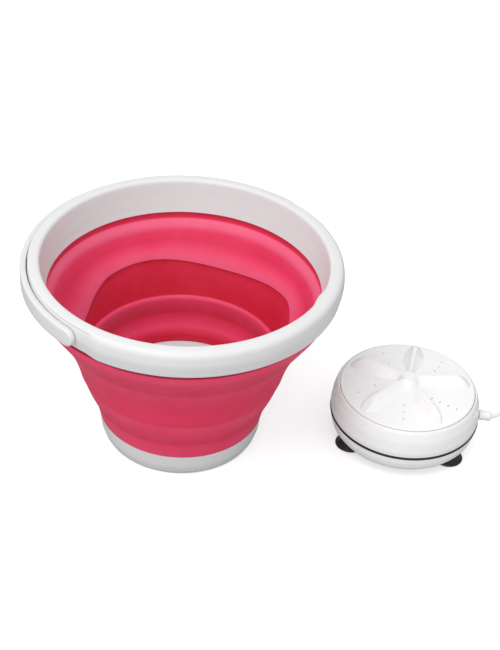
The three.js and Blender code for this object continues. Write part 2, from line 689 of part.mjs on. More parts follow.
function buildSwitch() {
  const clearance = CABLE_RADIUS + 0.3;
  const cableBores = [1, -1].map((side) => lengthwiseRod(
    clearance, 14, SWITCH_X, SWITCH_Y + side * (SWITCH_LENGTH / 2), SWITCH_SPLIT_HEIGHT,
  ));
  const lower = placeAt(
    roundedBlock(SWITCH_WIDTH, SWITCH_LENGTH, SWITCH_SPLIT_HEIGHT - 0.15, 7),
    SWITCH_X, SWITCH_Y, 0,
  );
  addPart('switch_case_lower', cut(lower, cableBores), WHITE_PLASTIC);
  const upper = placeAt(
    roundedBlock(SWITCH_WIDTH, SWITCH_LENGTH, 6.85, 7),
    SWITCH_X, SWITCH_Y, SWITCH_SPLIT_HEIGHT + 0.15,
  );
  const buttonWell = placeAt(rod(6.3, 12, 24), SWITCH_X, SWITCH_Y, SWITCH_SPLIT_HEIGHT + 8);
  addPart('switch_case_upper', cut(upper, [...cableBores, buttonWell]), WHITE_PLASTIC);
  const button = [[0, 11.2], [6, 11.2], [6, 15.2], [5.2, 16], [0, 16.2]];
  const buttonSolid = placeAt(revolve(button, 24), SWITCH_X, SWITCH_Y);
  addPart('switch_button', buttonSolid, SWITCH_GREY);
}

function buildPlug() {
  const grip = placeAt(roundedBlock(16, 30, 9, 3), PLUG_X, PLUG_Y, 1.5);
  const cableBore = lengthwiseRod(CABLE_RADIUS + 0.3, 16, PLUG_X, PLUG_Y - 19, 6);
  addPart('plug_grip', cut(grip, [cableBore]), WHITE_PLASTIC);
  const shell = new THREE.Shape();
  shell.moveTo(-6, -2.25);
  shell.lineTo(6, -2.25);
  shell.lineTo(6, 2.25);
  shell.lineTo(-6, 2.25);
  shell.closePath();
  const hollow = new THREE.Path();
  hollow.moveTo(-5.6, -1.85);
  hollow.lineTo(-5.6, 1.85);
  hollow.lineTo(5.6, 1.85);
  hollow.lineTo(5.6, -1.85);
  hollow.closePath();
  shell.holes.push(hollow);
  const sleeve = new THREE.ExtrudeGeometry(shell, { depth: 12, bevelEnabled: false });
  sleeve.rotateX(-Math.PI / 2);
  sleeve.translate(PLUG_X, PLUG_Y + 15.3, 6);
  addPart('plug_shell', sleeve, STEEL);
  const tongue = placeAt(new THREE.BoxGeometry(10.6, 11, 1.5), PLUG_X, PLUG_Y + 20.8, 6.7);
  addPart('plug_tongue', tongue, BLACK_RUBBER);
}

buildBase();
buildWall();
buildRim();
buildBail();
buildPins();
buildLowerShell();
buildGasket();
buildUpperShell();
buildSuctionCups();
buildShellScrews();
buildImpeller();
buildDriveTrain();
buildStrainRelief();
buildCables();
buildSwitch();
buildPlug();

// The frame's origin is on the floor, at the centre of the set's footprint.
const footprint = new THREE.Box3().setFromObject(washingSet).getCenter(new THREE.Vector3());
washingSet.position.set(-footprint.x, -footprint.y, 0);

export default washingSet;
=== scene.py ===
"""Folding wash tub and turbine unit: the fine surface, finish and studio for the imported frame.

Outlines below are in millimetres, measured from the tub's own axis (or the unit's own
axis) and from the floor. make_object() turns them into metres in the shared frame.
"""

import math

import bmesh
import bpy
from mathutils import Matrix, Vector


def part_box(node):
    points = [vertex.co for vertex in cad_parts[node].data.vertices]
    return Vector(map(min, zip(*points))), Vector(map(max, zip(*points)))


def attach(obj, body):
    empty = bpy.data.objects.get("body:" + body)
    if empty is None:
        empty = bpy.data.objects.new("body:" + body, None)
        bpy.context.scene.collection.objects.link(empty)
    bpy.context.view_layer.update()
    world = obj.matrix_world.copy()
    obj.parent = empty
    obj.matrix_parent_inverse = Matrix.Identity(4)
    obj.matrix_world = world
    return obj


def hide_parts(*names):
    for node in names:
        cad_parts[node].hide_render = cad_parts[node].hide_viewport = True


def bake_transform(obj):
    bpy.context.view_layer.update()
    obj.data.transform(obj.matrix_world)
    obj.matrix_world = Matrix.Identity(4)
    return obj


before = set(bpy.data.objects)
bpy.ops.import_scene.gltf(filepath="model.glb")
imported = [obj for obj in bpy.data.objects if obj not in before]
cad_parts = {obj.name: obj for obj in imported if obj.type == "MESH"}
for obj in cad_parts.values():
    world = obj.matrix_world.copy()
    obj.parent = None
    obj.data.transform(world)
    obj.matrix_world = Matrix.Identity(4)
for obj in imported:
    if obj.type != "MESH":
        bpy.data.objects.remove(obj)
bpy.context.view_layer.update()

MM = 0.001


def centre_of(node):
    low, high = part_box(node)
    return ((low.x + high.x) / 2 / MM, (low.y + high.y) / 2 / MM)


TUB = centre_of("base_dish")
UNIT = centre_of("unit_shell_upper")
SWITCH = centre_of("switch_case_upper")
PLUG = centre_of("plug_grip")

# ---------- driving dimensions: tub ----------
TUB_STEPS = 240
WALL_TOP_INNER = 182.4
WALL_STEP = 0.9
# Stops of the standing wall: height, radius, bulge of the face up to the next stop.
OUTER_STOPS = [
    (28.0, 87.9, -0.15),
    (50.5, 93.2, 0.95),
    (84.5, 106.4, 0.0),
    (88.0, 108.2, -2.1),
    (143.5, 128.7, 0.0),
    (147.5, 131.4, 0.0),
    (172.0, 146.9, 0.85),
    (184.0, 151.0, 0.0),
]
INNER_STOPS = [
    (48.2, 84.8, 0.3),
    (54.0, 87.4, 0.9),
    (76.0, 99.6, 0.2),
    (92.0, 100.4, -0.5),
    (96.0, 101.2, 0.0),
    (97.5, 103.4, 0.5),
    (132.0, 118.2, 0.0),
    (133.5, 117.0, 0.0),
    (134.4, 116.8, -0.6),
    (146.0, 124.6, 1.1),
    (165.0, 134.2, -0.9),
    (174.5, 140.6, 0.5),
    (182.4, 142.4, 0.0),
]
# The inner ledge waves gently and droops on two sides: height, waves and (middle, reach) of each.
LEDGE_HEIGHT = 134.0
LEDGE_LOW = 103.0
LEDGE_HIGH = 160.0
LEDGE_WAVE = 3.2
LEDGE_WAVES = 4
LEDGE_WAVE_AZIMUTH_DEG = 112.0
LEDGE_DROOP = 19.0
LEDGE_DROOP_SIDES = [(175.0, 5.0, 43.0), (-8.0, 8.0, 31.0)]
LEDGE_LEAN = 0.4
# Painted light and shade of the soft wall by height, partly thin wall glowing through: 0 is its
# deepest crimson, 1 its palest pink.
INNER_TONES = [
    (48.2, 0.05), (55.0, 0.1), (62.0, 0.62), (68.0, 0.45), (77.0, 0.15), (86.0, 0.3),
    (95.0, 0.62), (97.3, 0.6), (97.9, 0.0), (112.0, 0.04), (124.0, 0.12), (133.2, 0.05),
    (134.2, 0.85), (140.0, 0.8), (146.0, 0.58), (154.0, 0.36), (162.0, 0.5), (169.0, 0.95),
    (174.4, 0.95), (176.2, 0.2), (182.4, 0.12),
]
# The same painted light and shade on the wall's outer face, by height.
OUTER_TONES = [
    (28.0, 0.62), (45.0, 0.55), (51.0, 0.36), (60.0, 0.45), (82.0, 0.62), (88.0, 0.42),
    (118.0, 0.44), (142.0, 0.56), (147.0, 0.36), (168.0, 0.48), (176.0, 0.6), (184.0, 0.6),
]
# Heights where one wall piece hands over to the next: the middle of each stiff band.
WALL_CUTS = [28.0, 67.0, 116.5, 151.0, 184.0]
WALL_PIECES = [
    ("wall_foot_fold", "tub_base", "tub_band_low", 47.0, 58.0),
    ("wall_low_fold", "tub_band_low", "tub_band_mid", 76.5, 103.5),
    ("wall_upper_fold", "tub_band_mid", "tub_band_high", 129.5, 141.5),
    ("wall_collar_fold", "tub_band_high", "tub_rim", 160.5, 183.0),
]
WALL_NODES = [
    ["wall_web_foot", "wall_band_low"],
    ["wall_web_low", "wall_band_mid"],
    ["wall_web_mid", "wall_band_high"],
    ["wall_web_rim"],
]

# ---------- driving dimensions: rim and bail ----------
PIVOT_AZIMUTH_DEG = 227.5
PIVOT_HEIGHT = 206.0
RECESS_DEPTH = 2.9
RECESS_FADE_DEG = 7.0
BOSS_AZIMUTH_DEG = -25.0
BOSS_HALF_DEG = 8.0
BOSS_DEPTH = 2.0
BAIL_INNER = 158.8
BAIL_OUTER = 165.0
BAIL_HALF_HEIGHT = 9.5
PIN_HOLE = 2.9

# ---------- driving dimensions: turbine unit ----------
UNIT_RADIUS = 80.3
UNIT_STEPS = 200
IMPELLER_RADIUS = 72.2
IMPELLER_EDGE = 65.0
IMPELLER_UNDERSIDE = 60.4
IMPELLER_RISE = 6.5
FIN_COUNT = 5
FIN_PHASE_DEG = 76.0
FIN_TOP = 79.4
FIN_HALF_WIDTH = 11.2
FIN_WIDEST = 40.0
FIN_LEVEL_END = 52.0
FIN_TIP = 68.0
# Rows of drain slots: first and last azimuth, first and last radius, count.
SLOT_ROWS = [
    (-103.0, -101.0, 38.0, 58.0, 3),
    (-48.0, -38.0, 34.0, 61.0, 4),
    (34.0, 44.0, 38.0, 58.0, 3),
    (118.0, 112.0, 37.0, 57.0, 2),
    (-170.0, -164.0, 37.0, 57.0, 2),
]
RELIEF_AZIMUTH_DEG = -11.0
RELIEF_HEIGHT = 41.0
CABLE_RADIUS = 2.2

# ---------- camera and studio ----------
CAMERA_PLACE = (0.0, -1161.5, 1013.1)
CAMERA_YAW_DEG = 3.407
CAMERA_PITCH_DEG = 36.994
CAMERA_ROLL_DEG = 3.909
CAMERA_LENS_MM = 77.54
FLOOR_GLOW = 0.42
SKY_LIGHT = 0.74
BACKDROP_EXTRA = 0.5
SENSOR_MM = 36.0


# ======================================================================
# Mesh building
# ======================================================================


def make_object(name, points, faces, place=TUB, sharp_deg=32.0, tones=None):
    """Mesh object from millimetre points, shaded smooth with creases kept sharp."""
    px, py = place
    mesh = bpy.data.meshes.new(name)
    mesh.from_pydata([((x + px) * MM, (y + py) * MM, z * MM) for x, y, z in points], [], faces)
    if tones:
        mesh.attributes.new("tone", "FLOAT", "POINT").data.foreach_set("value", tones)
    fix_mesh(mesh)
    mesh.shade_smooth()
    mesh.set_sharp_from_angle(angle=math.radians(sharp_deg))
    piece = bpy.data.objects.new(name, mesh)
    bpy.context.scene.collection.objects.link(piece)
    return piece


def fix_mesh(mesh):
    """Joins doubled points, drops empty faces and turns every face outwards."""
    work = bmesh.new()
    work.from_mesh(mesh)
    bmesh.ops.remove_doubles(work, verts=work.verts, dist=1e-6)
    bmesh.ops.dissolve_degenerate(work, edges=work.edges, dist=1e-7)
    bmesh.ops.recalc_face_normals(work, faces=work.faces)
    work.to_mesh(mesh)
    work.free()


def fillet(corners, closed=True, steps=5):
    """Corners (r, z) or (r, z, fillet) as a polyline with rounded corners."""
    count = len(corners)
    line = []
    for i, corner in enumerate(corners):
        here = Vector(corner[:2])
        size = corner[2] if len(corner) > 2 else 0.0
        is_end = not closed and i in (0, count - 1)
        if size <= 0.0 or is_end:
            line.append((here.x, here.y))
            continue
        before = Vector(corners[i - 1][:2]) - here
        after = Vector(corners[(i + 1) % count][:2]) - here
        cosine = before.normalized().dot(after.normalized())
        half = math.acos(max(-1.0, min(1.0, cosine))) / 2
        reach = size / max(math.tan(half), 1e-3)
        reach = min(reach, before.length * 0.48, after.length * 0.48)
        start = here + before.normalized() * reach
        end = here + after.normalized() * reach
        for k in range(steps + 1):
            t = k / steps
            point = start * (1 - t) ** 2 + here * 2 * t * (1 - t) + end * t * t
            line.append((point.x, point.y))
    return line


def lathe(name, outline, place=TUB, steps=TUB_STEPS, shift=None, sharp_deg=32.0, tone=None):
    """Closed (r, z) outline turned about the vertical axis at place."""
    points = []
    tones = []
    rings = []
    for radius, height in outline:
        if radius < 1e-6:
            points.append((0.0, 0.0, height))
            rings.append([len(points) - 1] * steps)
            continue
        ring = []
        for s in range(steps):
            angle = 2 * math.pi * s / steps
            r, z = shift(angle, radius, height) if shift else (radius, height)
            points.append((r * math.cos(angle), r * math.sin(angle), z))
            if tone:
                tones.append(tone(radius, height))
            ring.append(len(points) - 1)
        rings.append(ring)
    faces = []
    for i, ring in enumerate(rings):
        other = rings[(i + 1) % len(rings)]
        if ring[0] == ring[1] and other[0] == other[1]:
            continue
        for s in range(steps):
            n = (s + 1) % steps
            loop = [ring[s], ring[n], other[n], other[s]]
            faces.append(list(dict.fromkeys(loop)))
    return make_object(name, points, faces, place, sharp_deg, tones)


def smoothstep(low, high, value):
    t = max(0.0, min(1.0, (value - low) / (high - low)))
    return t * t * (3 - 2 * t)


def turn_between(a_deg, b_deg):
    """Smallest angle between two directions, in degrees."""
    return abs((a_deg - b_deg + 180.0) % 360.0 - 180.0)


def subtract(piece, cutter):
    """Cuts one object out of another and removes the cutter."""
    step = piece.modifiers.new("cut", "BOOLEAN")
    step.operation = "DIFFERENCE"
    step.solver = "EXACT"
    step.object = cutter
    depsgraph = bpy.context.evaluated_depsgraph_get()
    result = bpy.data.meshes.new_from_object(piece.evaluated_get(depsgraph))
    piece.modifiers.clear()
    piece.data = result
    bpy.data.objects.remove(cutter)
    return piece


def sweep(name, path, radius, sides=20):
    """Round tube with closed, slightly rounded ends along a list of (x, y, z) points."""
    points = []
    rings = []
    side = Vector((0, 0, 1))
    ends = [0.4, 0.8]
    count = len(path)
    for k, place in enumerate(path):
        here = Vector(place)
        ahead = Vector(path[min(k + 1, count - 1)]) - Vector(path[max(k - 1, 0)])
        ahead.normalize()
        side = (side - ahead * side.dot(ahead)).normalized()
        other = ahead.cross(side)
        from_end = min(k, count - 1 - k)
        r = radius * (ends[from_end] if from_end < len(ends) else 1.0)
        ring = []
        for s in range(sides):
            angle = 2 * math.pi * s / sides
            point = here + (side * math.cos(angle) + other * math.sin(angle)) * r
            points.append(tuple(point))
            ring.append(len(points) - 1)
        rings.append(ring)
    faces = []
    for a, b in zip(rings, rings[1:]):
        for s in range(sides):
            n = (s + 1) % sides
            faces.append([a[s], a[n], b[n], b[s]])
    faces.append(rings[0][::-1])
    faces.append(rings[-1])
    return make_object(name, points, faces, TUB, 50.0)


def spline(stops, spacing=1.2):
    """Smooth path through the stops, as evenly spaced points."""
    line = []
    padded = [stops[0]] + list(stops) + [stops[-1]]
    for i in range(1, len(padded) - 2):
        p0, p1, p2, p3 = (Vector(p) for p in padded[i - 1 : i + 3])
        pieces = max(2, int((p2 - p1).length / spacing))
        for k in range(pieces):
            t = k / pieces
            point = 0.5 * (
                2 * p1
                + (p2 - p0) * t
                + (2 * p0 - 5 * p1 + 4 * p2 - p3) * t * t
                + (3 * p1 - p0 - 3 * p2 + p3) * t ** 3
            )
            line.append(tuple(point))
    line.append(tuple(stops[-1]))
    return line


# ======================================================================
# Materials
# ======================================================================

# Display colours of the soft wall, from painted shade to painted light and thin-wall glow.
WALL_DEEP = (212, 26, 54)
WALL_MIDDLE = (243, 62, 104)
WALL_PALE = (248, 104, 140)
GAP_REACH_MM = 1.5


class Finish:
    """One node material, built from a principled shader with noise-driven detail."""

    def __init__(self, name):
        self.material = bpy.data.materials.new(name)
        self.material.use_nodes = True
        self.tree = self.material.node_tree
        self.tree.nodes.clear()
        self.shader = self.node("ShaderNodeBsdfPrincipled")
        output = self.node("ShaderNodeOutputMaterial")
        self.tree.links.new(self.shader.outputs["BSDF"], output.inputs["Surface"])
        self.place = self.node("ShaderNodeTexCoord").outputs["Object"]

    def node(self, kind, **settings):
        made = self.tree.nodes.new(kind)
        for key, value in settings.items():
            setattr(made, key, value)
        return made

    def feed(self, node, socket, source):
        """Sets an input to a number or colour, or links it to another node's output."""
        target = node.inputs[socket]
        if isinstance(source, bpy.types.NodeSocket):
            self.tree.links.new(source, target)
        else:
            target.default_value = source

    def noise(self, scale, detail=3.0, roughness=0.5, stretch=None):
        made = self.node("ShaderNodeTexNoise")
        self.feed(made, "Vector", self.stretched(stretch) if stretch else self.place)
        self.feed(made, "Scale", scale)
        self.feed(made, "Detail", detail)
        self.feed(made, "Roughness", roughness)
        return made.outputs["Fac"]

    def stretched(self, scale):
        made = self.node("ShaderNodeMapping")
        self.feed(made, "Vector", self.place)
        self.feed(made, "Scale", scale)
        return made.outputs["Vector"]

    def cells(self, scale, feature="F1"):
        made = self.node("ShaderNodeTexVoronoi", feature=feature)
        self.feed(made, "Vector", self.place)
        self.feed(made, "Scale", scale)
        return made.outputs["Distance"]

    def span(self, source, low, high, to_low, to_high):
        """Maps a value from one range onto another, clamped."""
        made = self.node("ShaderNodeMapRange")
        self.feed(made, "Value", source)
        self.feed(made, "From Min", low)
        self.feed(made, "From Max", high)
        self.feed(made, "To Min", to_low)
        self.feed(made, "To Max", to_high)
        return made.outputs["Result"]

    def blend(self, share, first, second):
        made = self.node("ShaderNodeMix", data_type="RGBA")
        self.feed(made, 0, share)
        self.feed(made, 6, first)
        self.feed(made, 7, second)
        return made.outputs[2]

    def sum(self, first, second, operation="ADD"):
        made = self.node("ShaderNodeMath", operation=operation)
        self.feed(made, 0, first)
        self.feed(made, 1, second)
        return made.outputs[0]

    def ramp(self, source, stops):
        made = self.node("ShaderNodeValToRGB")
        elements = made.color_ramp.elements
        while len(elements) < len(stops):
            elements.new(0.5)
        for element, (place, colour) in zip(elements, stops):
            element.position = place
            element.color = colour
        self.feed(made, "Fac", source)
        return made.outputs["Color"]

    def bump(self, height, strength, distance_mm, base=None):
        made = self.node("ShaderNodeBump")
        self.feed(made, "Height", height)
        self.feed(made, "Strength", strength)
        self.feed(made, "Distance", distance_mm * MM)
        if base is not None:
            self.feed(made, "Normal", base)
        return made.outputs["Normal"]

    def set(self, **inputs):
        for key, value in inputs.items():
            self.feed(self.shader, key.replace("_", " "), value)
        return self


def linear(red, green, blue):
    """Display colour (0-255) as the linear colour a shader wants."""
    values = []
    for channel in (red, green, blue):
        c = channel / 255
        values.append(c / 12.92 if c <= 0.04045 else ((c + 0.055) / 1.055) ** 2.4)
    return (*values, 1.0)


def soft_wall_finish():
    """Satin crimson elastomer: painted light and shade by height, partly thin-wall glow, cloudy,
    fine-grained, lightly dusted.
    """
    f = Finish("soft_wall_elastomer")
    # Painted light and shade: the tone attribute darkens the wall where it sits in shade and pales it
    # where light falls on it.
    painted_wall_tone = f.node("ShaderNodeAttribute", attribute_name="tone").outputs["Fac"]
    cloud = f.span(f.noise(22.0, 4.0, 0.6), 0.3, 0.7, -0.06, 0.06)
    base = f.ramp(f.sum(painted_wall_tone, cloud), [
        (0.0, linear(*WALL_DEEP)), (0.5, linear(*WALL_MIDDLE)), (1.0, linear(*WALL_PALE)),
    ])
    speck = f.span(f.noise(900.0, 2.0, 0.6), 0.62, 0.8, 0.0, 0.2)
    base = f.blend(speck, base, linear(*WALL_PALE))
    bounced = f.node("ShaderNodeLightPath").outputs["Is Diffuse Ray"]
    base = f.blend(f.sum(bounced, 0.8, "MULTIPLY"), base, (0.46, 0.34, 0.36, 1.0))
    grain = f.noise(1500.0, 2.0, 0.6)
    swell = f.noise(38.0, 2.0, 0.45)
    normal = f.bump(swell, 0.25, 0.4)
    normal = f.bump(grain, 0.12, 0.12, normal)
    rough = f.span(f.noise(60.0, 3.0, 0.6), 0.3, 0.7, 0.46, 0.6)
    f.set(Base_Color=base, Roughness=rough, Normal=normal, Specular_IOR_Level=0.28)
    f.set(Subsurface_Weight=0.1, Subsurface_Scale=0.004, Subsurface_Radius=(1.0, 0.28, 0.32))
    return f.material


def white_plastic_finish(name, tone, gloss, grain_strength, wear=0.05, gap_shade_strength=0.5, lift=0.0):
    """Injection-moulded white plastic: orange peel, faint scuffs, painted shade deep in the gaps, and
    an optional painted glow.
    """
    f = Finish(name)
    cloud = f.span(f.noise(16.0, 3.0, 0.55), 0.3, 0.7, 0.0, 1.0)
    darker = tuple(c * 0.975 for c in tone[:3]) + (1.0,)
    base = f.blend(cloud, darker, tone)
    scuffs = f.noise(260.0, 5.0, 0.7, (1.0, 0.12, 1.0))
    scuffs = f.span(scuffs, 0.66, 0.78, 0.0, 1.0)
    base = f.blend(f.sum(scuffs, wear, "MULTIPLY"), base, linear(190, 188, 184))
    # Painted shade: the colour darkens toward a dark brown where ambient occlusion finds a nearby
    # surface, in creases, seams and gaps.
    gap = f.node("ShaderNodeAmbientOcclusion", samples=6)
    f.feed(gap, "Distance", GAP_REACH_MM * MM)
    depth = f.span(gap.outputs["AO"], 0.12, 0.5, gap_shade_strength, 0.0)
    base = f.blend(depth, base, linear(58, 48, 46))
    rough = f.span(f.noise(45.0, 4.0, 0.6), 0.3, 0.7, gloss, gloss + 0.08)
    rough = f.sum(rough, f.sum(scuffs, 0.08, "MULTIPLY"))
    peel = f.noise(420.0, 2.0, 0.5)
    normal = f.bump(peel, grain_strength, 0.04)
    f.set(Base_Color=base, Roughness=rough, Normal=normal, Specular_IOR_Level=0.4)
    # Painted glow: the plastic emits its own colour, a light that lifts its shaded sides.
    f.set(Emission_Color=base, Emission_Strength=lift)
    return f.material


def rubber_finish():
    """Matt black rubber with a fine grain and grey bloom."""
    f = Finish("black_rubber_moulding")
    bloom = f.span(f.noise(70.0, 5.0, 0.65), 0.4, 0.75, 0.0, 1.0)
    base = f.blend(bloom, linear(14, 14, 15), linear(30, 30, 32))
    normal = f.bump(f.noise(1200.0, 3.0, 0.6), 0.25, 0.1)
    rough = f.span(f.noise(140.0, 3.0, 0.6), 0.3, 0.7, 0.42, 0.62)
    f.set(Base_Color=base, Roughness=rough, Normal=normal)
    return f.material


def metal_finish(name, light, dark, stretch, rough_low):
    """Turned or rolled metal: long fine scratches and light tarnish."""
    f = Finish(name)
    lines = f.noise(900.0, 4.0, 0.65, stretch)
    tarnish = f.span(f.noise(80.0, 4.0, 0.6), 0.35, 0.75, 0.0, 0.7)
    base = f.blend(tarnish, light, dark)
    rough = f.span(lines, 0.3, 0.7, rough_low, rough_low + 0.16)
    normal = f.bump(lines, 0.2, 0.03)
    f.set(Base_Color=base, Metallic=1.0, Roughness=rough, Normal=normal)
    return f.material


def gear_finish():
    """Natural gear plastic, waxy, with a little grease in the hollows."""
    f = Finish("natural_gear_plastic")
    grease = f.span(f.noise(160.0, 4.0, 0.6), 0.5, 0.7, 0.0, 0.6)
    base = f.blend(grease, linear(232, 226, 208), linear(196, 180, 140))
    rough = f.span(grease, 0.0, 0.6, 0.5, 0.24)
    f.set(Base_Color=base, Roughness=rough, Normal=f.bump(f.noise(700.0), 0.15, 0.05))
    return f.material


def board_finish():
    """Circuit board: green mask over a grid of copper tracks."""
    f = Finish("green_circuit_board")
    tracks = f.node("ShaderNodeTexBrick", offset=0.5, squash=1.0)
    f.feed(tracks, "Vector", f.place)
    f.feed(tracks, "Scale", 260.0)
    f.feed(tracks, "Mortar Size", 0.05)
    lines = tracks.outputs["Fac"]
    base = f.blend(lines, linear(24, 96, 56), linear(62, 142, 84))
    weave = f.noise(1400.0, 2.0)
    normal = f.bump(f.sum(lines, weave), 0.3, 0.06)
    f.set(Base_Color=base, Roughness=f.span(weave, 0.3, 0.7, 0.3, 0.45), Normal=normal)
    return f.material


def floor_finish():
    """Plain pale studio floor: bright to the camera, mid-grey to light that bounces off it."""
    f = Finish("studio_floor")
    cloud = f.span(f.noise(3.0, 3.0), 0.3, 0.7, 0.0, 1.0)
    seen = f.blend(cloud, (0.90, 0.90, 0.90, 1.0), (0.92, 0.92, 0.92, 1.0))
    to_camera = f.node("ShaderNodeLightPath").outputs["Is Camera Ray"]
    base = f.blend(to_camera, (0.42, 0.42, 0.42, 1.0), seen)
    f.set(Base_Color=base, Roughness=0.8, Specular_IOR_Level=0.0)
    f.set(Emission_Color=(1.0, 1.0, 1.0, 1.0))
    f.set(Emission_Strength=f.sum(to_camera, FLOOR_GLOW, "MULTIPLY"))
    return f.material


SOFT_WALL = soft_wall_finish()
TUB_WHITE = white_plastic_finish("tub_white_plastic", linear(229, 229, 230), 0.36, 0.12)
# The unit's white has a strong painted gap shade and a painted glow that lifts the shade the tub casts
# on it.
UNIT_WHITE = white_plastic_finish(
    "unit_white_plastic", linear(246, 246, 246), 0.24, 0.05, wear=0.0, gap_shade_strength=0.95, lift=0.05
)
CABLE_WHITE = white_plastic_finish("cable_white_sleeve", linear(242, 242, 242), 0.42, 0.3)
BUTTON_GREY = white_plastic_finish("button_grey_plastic", linear(186, 188, 193), 0.4, 0.15)
BLACK_RUBBER = rubber_finish()
STEEL = metal_finish(
    "turned_steel", linear(196, 198, 202), linear(142, 144, 150), (1.0, 1.0, 14.0), 0.22
)
BRASS = metal_finish(
    "turned_brass", linear(214, 180, 104), linear(150, 116, 60), (1.0, 1.0, 14.0), 0.25
)
GEAR = gear_finish()
BOARD = board_finish()


def dress(piece, material, slot, body, *nodes):
    """Gives a new piece its finish, its body and the CAD nodes it stands for; the slot argument is not
    used.
    """
    piece.data.materials.clear()
    piece.data.materials.append(material)
    if nodes:
        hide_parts(*nodes)
    if body:
        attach(piece, body)
    return piece


# ======================================================================
# Tub
# ======================================================================


def build_base():
    outline = fillet([
        (0.0, 45.2),
        (52.0, 45.0, 0.8),
        (52.0, 38.0, 0.8),
        (55.0, 38.0, 0.8),
        (55.0, 45.0, 0.8),
        (78.6, 44.6, 2.0),
        (77.6, 0.0, 0.9),
        (81.4, 0.0, 1.6),
        (83.8, 4.5, 3.0),
        (86.0, 12.0, 6.0),
        (87.4, 27.4, 1.0),
        (84.4, 27.7, 0.3),
        (84.4, 48.0, 1.4),
        (80.0, 48.3, 1.2),
        (78.6, 47.6, 0.8),
        (62.0, 47.8, 0.8),
        (60.8, 48.4, 0.8),
        (0.0, 48.6),
    ])
    dress(lathe("base_moulding", outline), TUB_WHITE, "tub_white", "tub_base", "base_dish")


def bulged_line(stops):
    """Dense (height, radius) line through the stops, each face bulged by its sagitta."""
    line = []
    for (z0, r0, bulge), (z1, r1, _) in zip(stops, stops[1:]):
        length = math.hypot(z1 - z0, r1 - r0)
        count = max(2, round(length / WALL_STEP))
        out_z = -(r1 - r0) / length
        out_r = (z1 - z0) / length
        for k in range(count):
            t = k / count
            lift = bulge * 4 * t * (1 - t)
            line.append((z0 + (z1 - z0) * t + lift * out_z, r0 + (r1 - r0) * t + lift * out_r))
    line.append(stops[-1][:2])
    return line


def eased(line, passes):
    """Rounds the creases of a dense line, holding its two ends."""
    for _ in range(passes):
        inside = [
            (
                (a[0] + 2 * b[0] + c[0]) / 4,
                (a[1] + 2 * b[1] + c[1]) / 4,
            )
            for a, b, c in zip(line, line[1:], line[2:])
        ]
        line = [line[0]] + inside + [line[-1]]
    return line


def part_of_line(line, low, high):
    """The stretch of a (height, radius) line between two heights, ends included."""
    def at(height):
        for (z0, r0), (z1, r1) in zip(line, line[1:]):
            if z0 <= height <= z1:
                return (height, r0 + (r1 - r0) * (height - z0) / (z1 - z0))
        return line[0] if height < line[0][0] else line[-1]

    inside = [p for p in line if low + 0.2 < p[0] < high - 0.2]
    return [at(low)] + inside + [at(high)]


def value_at(stops, height):
    """Straight-line value between (height, value) stops, held past the ends."""
    if height <= stops[0][0]:
        return stops[0][1]
    for (z0, v0, *_), (z1, v1, *_) in zip(stops, stops[1:]):
        if z0 <= height <= z1:
            return v0 + (v1 - v0) * (height - z0) / (z1 - z0)
    return stops[-1][1]


def is_inner_face(radius, height):
    middle = (value_at(OUTER_STOPS, height) + value_at(INNER_STOPS, height)) / 2
    return radius < middle


def wall_tone(radius, height):
    tones = INNER_TONES if is_inner_face(radius, height) else OUTER_TONES
    return value_at(tones, height)


def ledge_drop(angle_deg):
    """How far the inner ledge sits above or below its mean height, in millimetres."""
    wave = math.cos(math.radians(LEDGE_WAVES * (angle_deg - LEDGE_WAVE_AZIMUTH_DEG)))
    droop = 0.0
    for middle, near, far in LEDGE_DROOP_SIDES:
        droop += 1.0 - smoothstep(near, far, turn_between(angle_deg, middle))
    return LEDGE_WAVE * wave - LEDGE_DROOP * droop


def wall_shift(angle, radius, height):
    """Bends the ledge on the wall's inner face, easing out above and below it."""
    if not LEDGE_LOW < height < LEDGE_HIGH or not is_inner_face(radius, height):
        return radius, height
    below = (height - LEDGE_LOW) / (LEDGE_HEIGHT - LEDGE_LOW)
    above = (LEDGE_HIGH - height) / (LEDGE_HIGH - LEDGE_HEIGHT)
    drop = ledge_drop(math.degrees(angle)) * min(below, above, 1.0)
    return radius + LEDGE_LEAN * drop, height + drop


def build_wall():
    """The soft wall in four pieces that meet inside the stiff bands."""
    outer = eased(bulged_line(OUTER_STOPS), 2)
    inner = bulged_line(INNER_STOPS)
    for k, (name, below, above, start, end) in enumerate(WALL_PIECES):
        low, high = WALL_CUTS[k], WALL_CUTS[k + 1]
        outside = part_of_line(outer, low, high)
        inside = part_of_line(inner, max(low, INNER_STOPS[0][0]), min(high, WALL_TOP_INNER))
        outline = [(r, z) for z, r in outside]
        if k == len(WALL_PIECES) - 1:
            outline += [(146.0, 184.0), (144.2, 182.4)]
        outline += [(r, z) for z, r in reversed(inside)]
        if k == 0:
            outline += [(84.7, 30.0), (84.7, 28.0)]
        piece = lathe(name, outline, shift=wall_shift, tone=wall_tone)
        dress(piece, SOFT_WALL, "soft_wall", None, *WALL_NODES[k])
        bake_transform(piece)


def recess_weight(angle_deg):
    """1 behind the bail, 0 on the open side, eased past each pivot."""
    away = turn_between(angle_deg, PIVOT_AZIMUTH_DEG - 90.0)
    return 1.0 - smoothstep(96.0, 96.0 + RECESS_FADE_DEG, away)


def boss_weight(angle_deg):
    away = turn_between(angle_deg, BOSS_AZIMUTH_DEG) / BOSS_HALF_DEG
    return 0.0 if away >= 1.0 else 0.5 + 0.5 * math.cos(math.pi * away)


def rim_shift(angle, radius, height):
    degrees = math.degrees(angle)
    if radius > 151.0:
        depth = RECESS_DEPTH * recess_weight(degrees)
        return radius - depth * (1.0 - smoothstep(217.6, 220.2, height)), height
    if radius < 146.2 and height > 186.0:
        lean = smoothstep(184.0, 214.0, height)
        return radius - BOSS_DEPTH * boss_weight(degrees) * lean, height
    return radius, height


